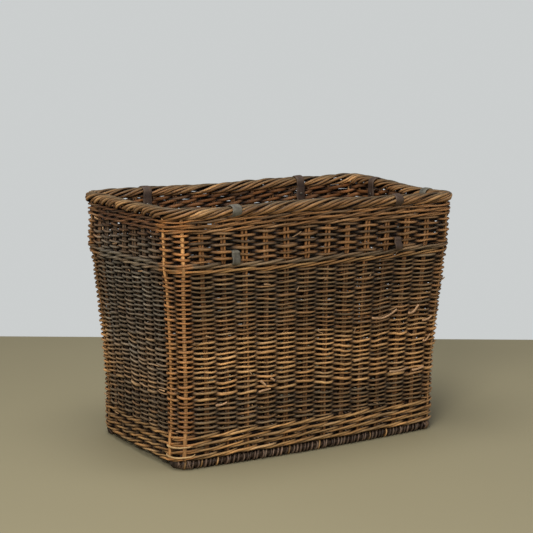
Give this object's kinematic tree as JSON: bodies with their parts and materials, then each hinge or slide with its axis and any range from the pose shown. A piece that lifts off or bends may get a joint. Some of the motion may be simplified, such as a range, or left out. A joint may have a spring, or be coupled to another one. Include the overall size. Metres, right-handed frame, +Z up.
{
  "type": "woven laundry basket",
  "caption": "Tall rectangular woven willow laundry basket with leaning sides, banded randing and waling, a rolled border and leather straps looped over the rim.",
  "frame": {"origin": "centre of the base's underside, on the floor that the basket stands on", "axes": "+X along the long sides, towards the end that carries two of the straps; +Y from the front long side to the back one; +Z up"},
  "size_m": [0.901, 0.509, 0.6597],
  "materials": {
    "willow_brown": "dried willow rods with the bark on, mid brown, satin, dry and slightly streaked",
    "willow_dark": "dried willow rods with the bark on, dark brown to grey, satin, dirt between the rows",
    "willow_light": "dried willow rods with the bark on, light orange brown, satin, worn on the outside",
    "willow_grey": "weathered willow rods, grey green where they face up, brown below",
    "leather_brown": "dark brown strap leather, creased and dry, edges worn",
    "leather_grey": "strap leather bleached grey green by weather, cracked across",
    "rivet_steel": "dull tarnished rivet heads"
  },
  "bodies": {
    "root": {"base_weave": "willow_grey", "base_edge_stick_front": "willow_brown", "base_edge_stick_back": "willow_brown", "base_sticks": "willow_brown", "corner_posts_front_left": "willow_light", "corner_posts_front_right": "willow_light", "corner_posts_back_left": "willow_light", "corner_posts_back_right": "willow_light", "stakes_front": "willow_brown", "stakes_back": "willow_brown", "stakes_left": "willow_brown", "stakes_right": "willow_brown", "by_stakes_front": "willow_brown", "by_stakes_back": "willow_brown", "by_stakes_left": "willow_brown", "by_stakes_right": "willow_brown", "upsett_wale": "willow_light", "randing_lower": "willow_dark", "randing_light": "willow_brown", "randing_upper": "willow_dark", "middle_wale": "willow_light", "open_randing": "willow_brown", "top_wale": "willow_brown", "border": "willow_grey", "strap_front_left": "leather_grey", "strap_front_right": "leather_brown", "strap_back_left": "leather_brown", "strap_back_right": "leather_brown", "strap_end_front": "leather_grey", "strap_end_back": "leather_brown", "strap_rivets": "rivet_steel", "corner_lashing": "willow_light"}
  },
  "joints": []
}
